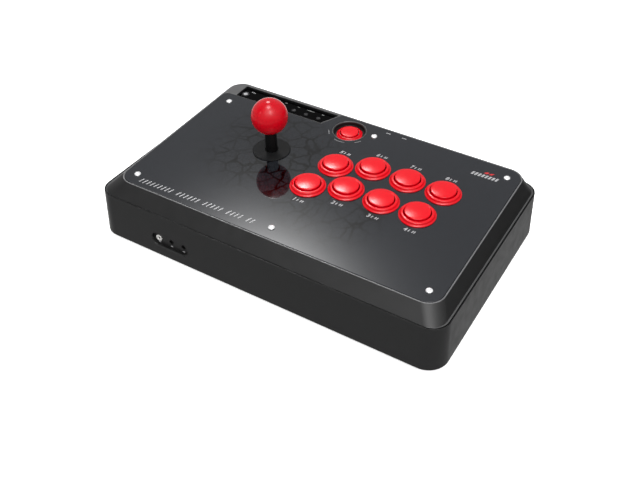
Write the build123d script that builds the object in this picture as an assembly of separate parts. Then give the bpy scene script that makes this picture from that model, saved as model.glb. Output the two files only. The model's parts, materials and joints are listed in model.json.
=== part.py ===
from build123d import *
import os

# An arcade joystick panel: a plastic console with a sloped top case, a glossy top panel,
# eight large push buttons, one small recessed one, a ball-top lever and a strip of keys.
# Frame: X to the player's right, Y away from the player, Z up. The origin lies on the table
# under the middle of the console. Everything on the deck is modelled flat, in deck
# coordinates (across, along, height above the panel), and tilted into place by deck().

# ---------------------------------------------------------------- driving dimensions, mm
FOOT_HEIGHT = 2.5            # rubber feet below the base
SPLIT_Z = 48.2               # joint between lower and upper case
CASE_X, CASE_Y = 176.5, 110.1  # half sizes of the lower case at the split
CASE_RADIUS = 16.8
DRAFT = 0.06                 # outward lean of the lower walls, mm per mm
WALL = 3.0

DECK_Z = 60.7                # top of the panel above the table at Y = 0
DECK_TILT = 1.75             # degrees, rising to the back
RIM_X, RIM_Y, RIM_MID_Y = 164.2, 98.1, 3.4   # half sizes and centre of the case's top edge
RIM_RADIUS = 15.4
RIM_WIDTH = 1.3              # plastic rim left round the panel

PANEL_THICK = 2.0
DECK_UNDER = -5.0            # underside of the upper case's deck

BUTTON_PITCH = 36.0
BUTTON_TRAVEL, SMALL_TRAVEL = 3.0, 2.4
FRONT_ROW = (29.8, -2.1)     # first of three buttons in line, then one set lower
BACK_ROW = (37.0, 36.2)
THUMB_STEP = (-32.9, -13.1)  # from the first button of a row to the lower one
SMALL_BUTTON = (-12.9, 79.9)
SMALL_FLOOR = -4.5           # floor of its round recess, below the panel

STICK_AT = (-62.7, 14.7)
BALL_RADIUS = 17.5
BALL_HEIGHT = 38.5           # ball centre above the panel
PIVOT_DEPTH = -18.0          # lever's pivot centre below the panel
STICK_HOLE = 12.0

KEY_STRIP = dict(left=-149.0, front=77.6, back=97.5, front_right=-45.3, back_right=-35.5)
KEY_FLOOR = -2.5             # face of the key strip below the panel
HOME_KEY = (-143.5, 86.3)
SMALL_KEYS = [(-82.2, 85.5), (-67.5, 85.5), (-52.8, 85.5)]
LIGHTS = [(-96.6, 93.6, 3.0), (-81.2, 93.6, 3.0), (-66.7, 93.6, 9.0), (-51.7, 93.6, 3.0)]

PORT_MID = (-93.0, 20.5)     # middle of the socket recess in the front wall, X and Z
PORT_LENGTH, PORT_HEIGHT, PORT_DEPTH = 41.0, 14.0, 3.0
PORT_PITCH = 14.0
JACK_BORE = 1.80             # radius of a 3.5 mm headset plug's hole
CABLE_AT = (-60.0, 26.0)     # cable bush in the rear wall, X and Z

PANEL_SCREWS = [(-150.4, -80.4), (0.0, -80.4), (150.4, -80.4),
                (-148.5, 63.5), (13.1, 83.2), (150.4, 86.0)]
PLATE_SCREWS = [(x, y) for x in (-165.0, 0.0, 165.0) for y in (-98.0, 98.0)]
CASE_POSTS = [(x, y) for x in (-160.0, 160.0) for y in (-55.0, 50.0)]
FEET = [(x, y) for x in (-150.0, 0.0, 150.0) for y in (-82.0, 82.0)]
BOARD_MID = (98.0, -30.0)
BOARD_SIZE = (100.0, 70.0)
BOARD_HOLES = [(BOARD_MID[0] + sx * 44, BOARD_MID[1] + sy * 29) for sx in (-1, 1) for sy in (-1, 1)]

PLATE_TOP = FOOT_HEIGHT + 1.5  # upper face of the steel base plate
CUT = 60.0                     # length of a cutting tool that goes right through


# ---------------------------------------------------------------- helpers
def deck(u, v, height=0.0):
    """Placement of a flat-modelled shape at (u, v) on the tilted panel."""
    return Location((0, 0, DECK_Z), (DECK_TILT, 0, 0)) * Pos(u, v, height)


def disc(radius, low, high, at=(0.0, 0.0)):
    return Pos(at[0], at[1], low) * extrude(Circle(radius), high - low)


def tube(outer, inner, low, high, at=(0.0, 0.0)):
    return disc(outer, low, high, at) - disc(inner, low - 1, high + 1, at)


def block(size_x, size_y, low, high, at=(0.0, 0.0)):
    return Pos(at[0], at[1], low) * extrude(Rectangle(size_x, size_y), high - low)


def turned(*profile):
    """Solid of revolution about Z from (radius, height) corners."""
    return revolve(Plane.XZ * make_face(Polyline(*profile, close=True)), Axis.Z)


def joined(shapes):
    shapes = list(shapes)
    return shapes[0].fuse(*shapes[1:]) if len(shapes) > 1 else shapes[0]


def group(shapes):
    return Compound(children=list(shapes))


def case_outline(z, inset):
    """Rounded plan of the lower case at height z, moved in by inset."""
    lean = DRAFT * (SPLIT_Z - z)
    plan = RectangleRounded(2 * (CASE_X + lean - inset), 2 * (CASE_Y + lean - inset),
                            CASE_RADIUS + lean - inset)
    return Pos(0, 0, z) * plan


def rim_outline(inset, height):
    """Rounded plan of the upper case's top edge, in deck coordinates."""
    plan = RectangleRounded(2 * (RIM_X - inset), 2 * (RIM_Y - inset), RIM_RADIUS - inset)
    return Pos(0, RIM_MID_Y, height) * plan


def strip_outline(gap):
    """Plan of the key strip's recess, grown by gap: square on the left, slanted on the right."""
    s = KEY_STRIP
    corners = [(s["left"] - gap, s["front"] - gap), (s["front_right"] + 1.2 * gap, s["front"] - gap),
               (s["back_right"] + 1.2 * gap, s["back"] + gap), (s["left"] - gap, s["back"] + gap)]
    return make_face(Polyline(*corners, close=True))


def button_places():
    """Deck positions of the eight large buttons, front row first, lower button first."""
    places = []
    for first in (FRONT_ROW, BACK_ROW):
        places.append((first[0] + THUMB_STEP[0], first[1] + THUMB_STEP[1]))
        places += [(first[0] + i * BUTTON_PITCH, first[1]) for i in range(3)]
    return places


# ---------------------------------------------------------------- lower case and base
def lower_case():
    shell = loft([case_outline(FOOT_HEIGHT, 0), case_outline(SPLIT_Z, 0)])
    outer = shell
    shell -= loft([case_outline(FOOT_HEIGHT - 1, WALL), case_outline(SPLIT_Z + 1, WALL)])
    # a shoulder for the upper case to sit on, and a rebate above it that leaves a thin edge
    seat_z = SPLIT_Z - 2.5
    shoulder = Pos(0, 0, -3) * extrude(case_outline(seat_z, 1.6) - case_outline(seat_z, 6.5), 3)
    shell += shoulder
    shell -= extrude(case_outline(seat_z, 1.5), 4)
    # the base plate lies in a rebate in the lower edge
    shell -= Pos(0, 0, -1) * extrude(case_outline(FOOT_HEIGHT, 1.5), 1 + 1.5)
    # screw pillars, each tied to the wall behind it
    for x, y in PLATE_SCREWS:
        pillar = disc(4.5, PLATE_TOP, 20, (x, y))
        rib = block(3, 14, PLATE_TOP, 20, (x, y + (7 if y > 0 else -7)))
        shell += (pillar + rib) & outer
        shell -= disc(1.5, 0, 16, (x, y))
    # socket recess: a pad behind the front wall, a round-ended pocket and three round holes
    x, z = PORT_MID
    wall_y = -(CASE_Y + DRAFT * (SPLIT_Z - z))
    shell += Pos(x, wall_y + 4.3, z) * Box(PORT_LENGTH + 10, 3.8, PORT_HEIGHT + 8)
    facing = Plane(origin=(x, wall_y + PORT_DEPTH, z), x_dir=(1, 0, 0), z_dir=(0, -1, 0))
    shell -= extrude(facing * SlotOverall(PORT_LENGTH, PORT_HEIGHT), 10)
    for i in (-1, 0, 1):
        shell -= extrude(facing * Pos(i * PORT_PITCH, 0) * Circle(2.8), -8)
    return shell - cable_axis() * disc(6.0, -10, 10)


def base_plate():
    plate = extrude(case_outline(FOOT_HEIGHT, 1.8), 1.5)
    for x, y in PLATE_SCREWS + CASE_POSTS + BOARD_HOLES:
        plate -= disc(1.7, 0, 6, (x, y))
    for x, y in FEET:
        plate -= disc(2.0, 0, 6, (x, y))
    return plate


def base_screws():
    """Screws from below: six into the lower case, four into the upper case's posts."""
    screw = turned((0, 0.9), (2.4, 0.9), (2.9, FOOT_HEIGHT), (1.45, FOOT_HEIGHT), (1.45, 12), (0, 13))
    return group(Pos(x, y, 0) * screw for x, y in PLATE_SCREWS + CASE_POSTS)


def rubber_feet():
    foot = turned((0, 0), (8.0, 0), (8.8, 0.8), (9.0, FOOT_HEIGHT), (1.95, FOOT_HEIGHT),
                  (1.95, PLATE_TOP), (2.8, PLATE_TOP + 0.3), (1.2, PLATE_TOP + 2.5), (0, PLATE_TOP + 2.5))
    return group(Pos(x, y, 0) * foot for x, y in FEET)


# ---------------------------------------------------------------- upper case
def upper_case():
    seat_z = SPLIT_Z - 2.5
    flange = extrude(case_outline(seat_z, 2.4), 2.5)
    foot_plan = RectangleRounded(2 * 172.6, 2 * 107.4, 14.0)
    crown = loft([Pos(0, 0, SPLIT_Z) * foot_plan, deck(0, 0) * rim_outline(0, 0)])
    hollow_plan = RectangleRounded(2 * 171.0, 2 * 105.8, 12.0)
    hollow = loft([Pos(0, 0, seat_z - 2) * hollow_plan, deck(0, 0) * rim_outline(3.0, DECK_UNDER)])
    case = flange + crown - hollow

    # posts down to the base plate, and the deck's features in deck coordinates
    for at in CASE_POSTS:
        case += disc(4.5, PLATE_TOP, 58, at) - disc(1.5, PLATE_TOP - 1, 16, at)
    add = [disc(4.0, DECK_UNDER - 11, DECK_UNDER + 1, at) for at in PANEL_SCREWS]
    add.append(disc(18.0, SMALL_FLOOR - 2.5, DECK_UNDER + 1, SMALL_BUTTON))
    add += [disc(2.5, -8.4, DECK_UNDER + 1, at) for at in strip_board_screws()]
    case += deck(0, 0) * joined(add)

    cut = [extrude(Pos(0, 0, -PANEL_THICK) * panel_plan(0.15), 10)]
    cut += [disc(15.0, -CUT, CUT, at) for at in button_places()]
    cut.append(disc(STICK_HOLE, -CUT, CUT, STICK_AT))
    cut.append(disc(21.4, DECK_UNDER - 1, DECK_UNDER + 1.0, STICK_AT))
    cut.append(disc(16.0, SMALL_FLOOR, CUT, SMALL_BUTTON))
    cut.append(disc(12.0, -CUT, CUT, SMALL_BUTTON))
    cut += [disc(1.5, -CUT, CUT, at) for at in PANEL_SCREWS]
    cut.append(extrude(Pos(0, 0, KEY_FLOOR - 1.0) * strip_outline(0), 10))
    cut.append(disc(4.9, -CUT, CUT, HOME_KEY))
    cut += [disc(3.2, -CUT, CUT, at) for at in SMALL_KEYS]
    cut += [disc(0.9, -9, DECK_UNDER + 0.5, at) for at in strip_board_screws()]
    cut += [disc(1.95, -9, -3.2, (STICK_AT[0] + x, STICK_AT[1] + y)) for x, y in stick_screw_places()]
    collar = turned((16.0, SMALL_FLOOR), (17.3, SMALL_FLOOR), (17.3, 0), (16.7, 0), (16.0, -0.7))
    for tool in cut:
        case -= deck(0, 0) * tool
    return case + deck(*SMALL_BUTTON) * collar


# ---------------------------------------------------------------- top panel
def panel_plan(grow=0.0):
    """Plan of the top panel: the rim's outline less the corner that holds the key strip."""
    inset = RIM_WIDTH - grow
    plan = Pos(0, RIM_MID_Y) * RectangleRounded(2 * (RIM_X - inset), 2 * (RIM_Y - inset),
                                                RIM_RADIUS - inset)
    margin = 1.0 - grow
    front, back = KEY_STRIP["front"] - margin, KEY_STRIP["back"] + 10
    run, rise = (KEY_STRIP["back_right"] - KEY_STRIP["front_right"], KEY_STRIP["back"] - KEY_STRIP["front"])
    slope = run / rise
    near = KEY_STRIP["front_right"] + 1.2 * margin
    far = near + slope * (back - front)
    corner = make_face(Polyline((-190, front), (near, front), (far, back), (-190, back), close=True))
    plan -= corner
    outer_corner = plan.vertices().sort_by_distance((-RIM_X, front, 0))[0]
    return fillet(outer_corner, 6.0)


def top_panel():
    plate = extrude(Pos(0, 0, -PANEL_THICK) * panel_plan(), PANEL_THICK)
    holes = [disc(15.0, -9, 9, at) for at in button_places()]
    holes.append(disc(STICK_HOLE, -9, 9, STICK_AT))
    holes.append(disc(17.4, -9, 9, SMALL_BUTTON))
    holes += [disc(2.1, -9, 9, at) for at in PANEL_SCREWS]
    for hole in holes:
        plate -= hole
    return deck(0, 0) * plate


def panel_screws():
    head = turned((0, 0), (3.0, 0), (3.0, 0.5), (2.5, 1.3), (1.6, 1.7), (0, 1.7))
    head -= extrude(Pos(0, 0, 0.7) * RegularPolygon(1.15, 6, major_radius=False), 2)
    screw = head + disc(1.45, -15, 0.1)
    return group(deck(*at) * screw for at in PANEL_SCREWS)


# ---------------------------------------------------------------- push buttons
def button_housing(barrel, crest, flange, height, bore, depth):
    """Flanged barrel: the flange rises to a crest round the cap, the barrel drops below."""
    return turned((bore, height - 1.1), (crest - 0.35, height), (crest + 0.35, height - 0.15),
                  (flange - 0.5, 1.0), (flange, 0.5), (flange, 0), (barrel, 0), (barrel, -depth),
                  (bore - 3.5, -depth), (bore - 3.5, -depth + 1.4), (bore, -depth + 1.4))


def button_plunger(radius, edge, rise, depth, travel):
    """Domed cap on a hollow skirt, with a stem that works the switch below."""
    skirt_low, stem_low = -depth + 1.4 + travel + 0.2, -depth + travel + 0.2
    top = edge + rise
    curve = (radius ** 2 + rise ** 2) / (2 * rise)
    cap = turned((0, skirt_low), (radius, skirt_low), (radius, edge - 0.5), (radius - 0.15, edge - 0.15),
                 (radius - 0.55, edge + 0.05), (radius - 0.55, top), (0, top))
    cap &= Pos(0, 0, top - curve) * Sphere(curve)
    cap -= disc(radius - 1.5, skirt_low - 1, edge - 1.6)
    return cap + disc(3.0, stem_low, edge - 1.5)


def switch_module(radius, top):
    """Round holder that closes the barrel, with the switch body below it."""
    return disc(radius, top - 3.0, top) + block(10.5, 20.0 if radius > 12 else 17.0, top - 12.0, top - 2.9)


def switch_blades(top):
    """Two flat terminals below a switch."""
    return [block(0.8, 4.8, top - 18.0, top - 12.0, (0, y)) for y in (-5.0, 5.0)]


def big_button():
    depth = 9.6
    housing = button_housing(barrel=14.75, crest=13.7, flange=17.2, height=3.5, bore=12.6, depth=depth)
    plunger = button_plunger(12.1, 4.9, 1.1, depth, BUTTON_TRAVEL)
    return housing, plunger, switch_module(14.2, -depth), switch_blades(-depth)


def small_button():
    depth = 9.0
    housing = button_housing(barrel=11.75, crest=10.7, flange=13.3, height=2.7, bore=9.8, depth=depth)
    plunger = button_plunger(9.3, 3.8, 0.8, depth, SMALL_TRAVEL)
    return housing, plunger, switch_module(11.2, -depth), switch_blades(-depth)


# ---------------------------------------------------------------- lever
def lever_parts():
    """Everything that tilts with the lever, in lever coordinates (height above the panel)."""
    ball_flat = BALL_HEIGHT - 16.6
    ball = Pos(0, 0, BALL_HEIGHT) * Sphere(BALL_RADIUS) - disc(12, 0, ball_flat)
    ball -= disc(3.0, 0, BALL_HEIGHT + 4)
    shaft = disc(4.75, -45.6, ball_flat) + disc(2.95, ball_flat - 1, BALL_HEIGHT + 3)
    shaft -= tube(6, 3.9, -42.2, -41.3)
    pivot = (Pos(0, 0, PIVOT_DEPTH) * Sphere(9.5)) & disc(12, PIVOT_DEPTH - 6.5, PIVOT_DEPTH + 5.5)
    pivot -= disc(4.75, -60, 0)
    return {
        "ball_top": ball,
        "lever_shaft": shaft,
        "shaft_cover": tube(5.7, 4.8, -6.0, ball_flat),
        "pivot_ball": pivot,
        "actuator": turned((4.75, -33), (8.2, -33), (8.2, -34), (7.0, -34.6), (7.0, -41), (4.75, -41)),
        "shaft_clip": tube(6.4, 3.95, -42.1, -41.4) - block(3.2, 8, -45, -40, (0, -6)),
    }


def centering_spring():
    """Coil between the pivot ball and the actuator."""
    low, high, wire = -31.2, -26.2, 0.55
    rise = high - low - 2 * wire
    path = Pos(0, 0, low + wire) * Helix(rise / 3, rise, 7.9)
    section = Plane(origin=path @ 0, z_dir=path % 0) * Circle(wire)
    return sweep(section, path=path, is_frenet=True)


def stick_plate():
    plate = Pos(0, 0, DECK_UNDER - 1.6) * extrude(RectangleRounded(53, 95, 4), 1.6)
    plate -= disc(11.0, -9, 0)
    for x, y in stick_screw_places():
        plate -= disc(2.2, -9, 0, (x, y))
    return plate


def stick_screw_places():
    return [(sx * 20.0, sy * 42.0) for sx in (-1, 1) for sy in (-1, 1)]


def stick_screws():
    screw = turned((0, -8.8), (3.4, -8.8), (3.4, -6.6), (1.9, -6.6), (1.9, -3.4), (0, -3.4))
    return group(deck(STICK_AT[0] + x, STICK_AT[1] + y) * screw for x, y in stick_screw_places())


def stick_housing():
    top, low = DECK_UNDER - 1.6, -28.0
    body = Pos(0, 0, low) * extrude(RectangleRounded(46, 62, 3), top - low)
    socket = Pos(0, 0, PIVOT_DEPTH) * Sphere(9.8)
    mouth = turned((0, top + 1), (11.0, top + 1), (11.0, -9.5), (7.6, -11.5), (7.6, -14), (0, -14))
    return body - socket - mouth - disc(10.8, low - 1, -24.0) - disc(8.6, low - 1, -20.0)


def stick_board():
    return block(44, 60, -29.2, -28.0) - disc(11.6, -31, -27)


def stick_switches():
    """Four switches round the lever's foot, each with its lever facing the middle."""
    body = block(6.4, 19.8, -39.2, -29.2, (15.9, 0))
    blade = block(0.4, 14, -38.0, -31.0, (12.3, 0))
    arm = block(0.4, 1.4, -31.6, -31.0, (12.5, -6.0))
    one = body + blade + arm
    return group(Rot(0, 0, 90 * i) * one for i in range(4))


def restrictor_gate():
    """Square-hole plate held off the board by four posts."""
    plate = Pos(0, 0, -46.8) * extrude(RectangleRounded(44, 60, 3), 2.8)
    plate -= block(19.4, 19.4, -50, -40)
    posts = [block(5, 5, -44.1, -29.2, (x, y)) for x in (-19, 19) for y in (-27, 27)]
    return joined([plate] + posts)


def lever_washers():
    """Dust washer on the panel, and the guide ring that carries it under the deck."""
    washer = turned((6.25, 0.1), (18.3, 0.1), (18.5, 0.4), (18.2, 0.9), (6.25, 1.2))
    guide = tube(17.6, 9.6, DECK_UNDER + 0.1, DECK_UNDER + 0.85)
    return washer, guide


# ---------------------------------------------------------------- key strip
def strip_board_screws():
    return [(-131.0, 86.0), (-60.2, 80.6), (-100.0, 84.0)]


def function_panel():
    plate = extrude(Pos(0, 0, KEY_FLOOR - 1.0) * strip_outline(-0.12), 1.0)
    plate -= disc(4.3, -9, 0, HOME_KEY)
    for at in SMALL_KEYS:
        plate -= disc(2.6, -9, 0, at)
    for u, v, length in LIGHTS:
        plate -= block(length, 0.9, -9, 0, (u, v))
    return deck(0, 0) * plate


def status_lights():
    low, high = KEY_FLOOR - 0.95, KEY_FLOOR + 0.05
    return group(deck(u, v) * block(length - 0.1, 0.8, low, high) for u, v, length in LIGHTS)


def key_cap(radius):
    """Key with a retaining flange under the deck."""
    return turned((0, -7.0), (radius + 0.55, -7.0), (radius + 0.55, -5.9), (radius, -5.9),
                  (radius, KEY_FLOOR + 0.6), (radius - 0.4, KEY_FLOOR + 0.9), (0, KEY_FLOOR + 0.9))


def function_board():
    board = block(112, 17, -9.6, -8.4, (-95.5, 86.2))
    for at in strip_board_screws():
        board -= disc(1.1, -12, -6, at)
    return deck(0, 0) * board


def key_switches():
    return group(deck(*at) * (block(5.2, 5.2, -8.4, -7.9) + disc(1.6, -8, -7.6))
                 for at in [HOME_KEY] + SMALL_KEYS)


# ---------------------------------------------------------------- sockets and electronics
def socket_places():
    x, z = PORT_MID
    floor_y = -(CASE_Y + DRAFT * (SPLIT_Z - z)) + PORT_DEPTH
    return [Location((x + i * PORT_PITCH, floor_y, z), (90, 0, 0)) for i in (-1, 0, 1)]


def socket_barrel(proud):
    """Threaded barrel of a plug socket; its axis Z points out of the front wall."""
    return tube(2.7, JACK_BORE, -13.0, proud)


def socket_body():
    return block(10, 11, -15, -3.7) - disc(2.75, -13.1, 0)


def port_board():
    x, z = PORT_MID
    y = -CASE_Y + 12.0
    return Pos(x, y, z - 6.5) * Box(44, 14, 1.4)


def main_board():
    z = PLATE_TOP + 6.0
    board = block(BOARD_SIZE[0], BOARD_SIZE[1], z, z + 1.6, BOARD_MID)
    for at in BOARD_HOLES:
        board -= disc(1.6, 0, 30, at)
    return board


def board_standoffs():
    z = PLATE_TOP
    nut = extrude(RegularPolygon(2.75, 6, major_radius=False), 6.0) - disc(1.45, -1, 7)
    return group(Pos(x, y, z) * nut for x, y in BOARD_HOLES)


def board_screws():
    """Screws of the main board, from above and below, and of the key strip's board."""
    top = PLATE_TOP + 7.6
    upper = disc(2.6, top, top + 1.8) + disc(1.4, top - 4, top)
    lower = disc(2.6, FOOT_HEIGHT - 1.6, FOOT_HEIGHT) + disc(1.4, FOOT_HEIGHT, PLATE_TOP + 3)
    solids = [Pos(x, y, 0) * part for x, y in BOARD_HOLES for part in (upper, lower)]
    solids += [deck(*at) * (disc(1.9, -11.0, -9.6) + disc(0.85, -9.6, -5.2)) for at in strip_board_screws()]
    return group(solids)


def board_chips():
    """Controller, memory and two rows of plug headers on the main board."""
    z = PLATE_TOP + 7.6
    x, y = BOARD_MID
    chips = [block(12, 12, z, z + 1.6, (x, y)), block(8, 6, z, z + 1.4, (x - 20, y + 4))]
    chips += [block(10, 6, z, z + 6.5, (x - 30 + 15 * i, y + 26)) for i in range(5)]
    chips += [block(10, 6, z, z + 6.5, (x - 30 + 15 * i, y - 26)) for i in range(5)]
    return group(chips)


def cable_axis():
    """Placement in the rear wall with Z square to it, pointing out, and zero at its outer face."""
    wall_y = CASE_Y + DRAFT * (SPLIT_Z - CABLE_AT[1])
    return Plane(origin=(CABLE_AT[0], wall_y, CABLE_AT[1]), x_dir=(1, 0, 0), z_dir=(0, 1, DRAFT)).location


def cable_bush():
    """Grooved rubber bush that grips the wall round its hole."""
    return cable_axis() * turned((2.4, -12), (4.2, -12), (5.0, -5.6), (7.2, -5.6), (7.2, -3.05),
                                 (5.9, -3.05), (5.9, 0.05), (7.2, 0.05), (6.4, 0.9), (2.4, 0.9))


# ---------------------------------------------------------------- assembly
def all_parts():
    parts = {
        "lower_case": lower_case(),
        "base_plate": base_plate(),
        "base_screws": base_screws(),
        "rubber_feet": rubber_feet(),
        "upper_case": upper_case(),
        "top_panel": top_panel(),
        "panel_screws": panel_screws(),
        "function_panel": function_panel(),
        "status_lights": status_lights(),
        "function_board": function_board(),
        "key_switches": key_switches(),
        "port_board": port_board(),
        "main_board": main_board(),
        "board_standoffs": board_standoffs(),
        "board_screws": board_screws(),
        "board_chips": board_chips(),
        "cable_bush": cable_bush(),
    }

    housing, plunger, module, module_blades = big_button()
    switches, blades = [], []
    for number, at in enumerate(button_places(), start=1):
        parts[f"button_housing_{number}"] = deck(*at) * housing
        parts[f"button_plunger_{number}"] = deck(*at) * plunger
        switches.append(deck(*at) * module)
        blades += [deck(*at) * blade for blade in module_blades]
    housing, plunger, module, module_blades = small_button()
    sunk = deck(*SMALL_BUTTON, SMALL_FLOOR)
    parts["small_button_housing"] = sunk * housing
    parts["small_button_plunger"] = sunk * plunger
    switches.append(sunk * module)
    blades += [sunk * blade for blade in module_blades]
    parts["button_switches"] = group(switches)
    parts["switch_terminals"] = group(blades)

    parts["home_key"] = deck(*HOME_KEY) * key_cap(4.0)
    for number, at in enumerate(SMALL_KEYS, start=1):
        parts[f"function_key_{number}"] = deck(*at) * key_cap(2.3)

    lever = deck(*STICK_AT)
    for name, shape in lever_parts().items():
        parts[name] = lever * shape
    parts["centering_spring"] = lever * centering_spring()
    parts["stick_plate"] = lever * stick_plate()
    parts["stick_screws"] = stick_screws()
    parts["stick_housing"] = lever * stick_housing()
    parts["stick_board"] = lever * stick_board()
    parts["stick_switches"] = lever * stick_switches()
    parts["restrictor_gate"] = lever * restrictor_gate()
    washer, guide = lever_washers()
    parts["dust_washer"] = lever * washer
    parts["washer_guide"] = lever * guide

    jack, left, right = socket_places()
    parts["headset_jack"] = jack * socket_barrel(0.8)
    parts["side_sockets"] = group([left * socket_barrel(0.2), right * socket_barrel(0.2)])
    parts["socket_bodies"] = group(place * socket_body() for place in (jack, left, right))
    return parts


def main():
    os.makedirs("parts", exist_ok=True)
    for name, shape in all_parts().items():
        export_step(shape, f"parts/{name}.step")


main()
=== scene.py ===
import json
import math

import bmesh
import bpy
from mathutils import Matrix, Vector


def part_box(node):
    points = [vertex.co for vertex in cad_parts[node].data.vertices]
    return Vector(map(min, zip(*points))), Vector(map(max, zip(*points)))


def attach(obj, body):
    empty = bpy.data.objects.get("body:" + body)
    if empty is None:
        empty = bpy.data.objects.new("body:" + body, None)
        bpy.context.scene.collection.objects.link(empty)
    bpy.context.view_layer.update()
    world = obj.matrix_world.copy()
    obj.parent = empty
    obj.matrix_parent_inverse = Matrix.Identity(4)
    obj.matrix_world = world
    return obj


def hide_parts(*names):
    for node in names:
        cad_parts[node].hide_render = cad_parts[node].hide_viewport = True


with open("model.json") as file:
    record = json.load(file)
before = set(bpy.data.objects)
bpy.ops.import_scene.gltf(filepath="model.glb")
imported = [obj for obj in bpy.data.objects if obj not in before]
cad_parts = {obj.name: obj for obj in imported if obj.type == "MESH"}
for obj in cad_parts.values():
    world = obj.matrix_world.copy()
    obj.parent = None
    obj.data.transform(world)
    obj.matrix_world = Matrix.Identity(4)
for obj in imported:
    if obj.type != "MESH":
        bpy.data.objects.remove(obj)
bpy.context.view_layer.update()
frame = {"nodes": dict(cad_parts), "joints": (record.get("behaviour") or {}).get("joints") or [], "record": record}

# Looks of the arcade joystick panel. Lengths are in millimetres, and a mesh is scaled to
# metres when it is made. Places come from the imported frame. "Deck" coordinates are (across,
# along, height) on the tilted top panel, whose upper face is height 0.

MM = 0.001
CORNER_STEPS = 14            # segments of a rounded corner of the case
SIDE_STEPS = 8               # segments of a straight side of the case
TURN_STEPS = 96              # segments round a turned piece
HOLE_STEPS = 64              # segments round a hole or a key
SMALL_STEPS = 48             # segments round a socket or a screw
FILLET_STEPS = 4
LONG_SIDE = 25.0             # straight sides longer than this are divided

# ---------------------------------------------------------------- dimensions from the frame
NODES = frame["nodes"]
PRESS_AXIS = next(j["axis"] for j in frame["joints"] if j["name"] == "button_press_1")
UP = -Vector(PRESS_AXIS)     # the panel's normal
PANEL_HEIGHT = max(UP.dot(v.co) for v in NODES["top_panel"].data.vertices) / MM
DECK = (Matrix.Translation((0, 0, PANEL_HEIGHT / UP.z))
        @ Matrix.Rotation(math.atan2(-UP.y, UP.z), 4, "X"))


def box_mm(node):
    low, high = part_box(node)
    return low / MM, high / MM


def deck_points(node):
    inverse = DECK.inverted()
    return [inverse @ (v.co / MM) for v in NODES[node].data.vertices]


def deck_box(node):
    points = deck_points(node)
    return tuple(Vector([pick(p[i] for p in points) for i in range(3)]) for pick in (min, max))


def deck_middle(node):
    low, high = deck_box(node)
    return ((low.x + high.x) / 2, (low.y + high.y) / 2)


CASE_LOW, CASE_HIGH = box_mm("lower_case")
SPLIT = CASE_HIGH.z          # joint between lower and upper case
BASE = CASE_LOW.z            # lower edge of the case, above the feet
DRAFT = 0.06                 # outward lean of the lower walls
CASE_RADIUS = 16.8           # corner radius at the split
CASE_X = CASE_HIGH.x - DRAFT * (SPLIT - BASE)
CASE_Y = 110.1               # half depth at the split

PANEL_LOW, PANEL_HIGH = deck_box("top_panel")
RIM_WIDTH = 1.3              # plastic rim left round the panel
RIM_X = PANEL_HIGH.x + RIM_WIDTH
RIM_Y = (PANEL_HIGH.y - PANEL_LOW.y) / 2 + RIM_WIDTH
RIM_MIDDLE = (PANEL_HIGH.y + PANEL_LOW.y) / 2
RIM_RADIUS = 15.4
PAINTED_RIM_BAND = 0.55             # how far down the painted highlight on the rim's crest reaches
LIP = 0.45                   # width of the lower case's top edge, outside the groove at the split
GROOVE = 1.5                 # from the outer wall to the flat step of the upper case
SEAT = SPLIT - 2.5           # where the upper case rests inside the lower one
PANEL_THICK = -PANEL_LOW.z

STRIP_LOW, STRIP_HIGH = deck_box("function_panel")
STRIP_FRONT_RIGHT = max(p.x for p in deck_points("function_panel") if p.y < STRIP_LOW.y + 0.1)
STRIP_GAP = 0.12             # between the key strip and its recess
NOTCH_MARGIN = 1.0           # plastic between the key strip's recess and the panel

STICK = deck_middle("dust_washer")
BUTTONS = [deck_middle(f"button_housing_{n}") for n in range(1, 9)]
SMALL_BUTTON = deck_middle("small_button_housing")
SMALL_FLOOR = -4.5           # floor of the small button's recess
WELL_RADIUS = 16.0           # radius of that recess
BUTTON_HOLE = 15.0           # radii of the holes for the large buttons and the lever
STICK_HOLE = 12.0
KEY_FLANGE = 0.55            # how far a key's flange stands out under the strip
PANEL_SCREWS = [(-150.4, -80.4), (0.0, -80.4), (150.4, -80.4),
                (-148.5, 63.5), (13.1, 83.2), (150.4, 86.0)]
PORT_LOW, PORT_HIGH = box_mm("side_sockets")
PORT_WIDTH = 5.4             # width of one socket
PORT_PITCH = PORT_HIGH.x - PORT_LOW.x - PORT_WIDTH
PORT_MIDDLE = (PORT_LOW.x + PORT_WIDTH / 2, (PORT_LOW.z + PORT_HIGH.z) / 2)
PORT_DEPTH = 3.0             # depth of the recess that holds the sockets


# ---------------------------------------------------------------- mesh helpers
def on_deck(x, y, height=0.0, turn=0.0):
    """Placement on the deck with the local Z along the panel's normal, turned by radians about it."""
    return DECK @ Matrix.Translation((x, y, height)) @ Matrix.Rotation(turn, 4, "Z")


def fillet(before, corner, after, radius):
    """Points of the arc that rounds a corner off; a straight or sharp corner is one point, repeated."""
    to_before, to_after = (before - corner), (after - corner)
    if radius <= 0 or to_before.length < 1e-6 or to_after.length < 1e-6:
        return [corner.copy()] * (FILLET_STEPS + 1)
    to_before.normalize()
    to_after.normalize()
    half = to_before.angle(to_after) / 2
    turn = math.pi - 2 * half
    if turn < 0.02:
        return [corner.copy()] * (FILLET_STEPS + 1)
    centre = corner + (to_before + to_after).normalized() * (radius / math.sin(half))
    start = corner + to_before * (radius / math.tan(half)) - centre
    end = corner + to_after * (radius / math.tan(half)) - centre
    shares = [step / FILLET_STEPS for step in range(FILLET_STEPS + 1)]
    return [centre + (start * math.sin((1 - s) * turn) + end * math.sin(s * turn)) / math.sin(turn)
            for s in shares]


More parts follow.
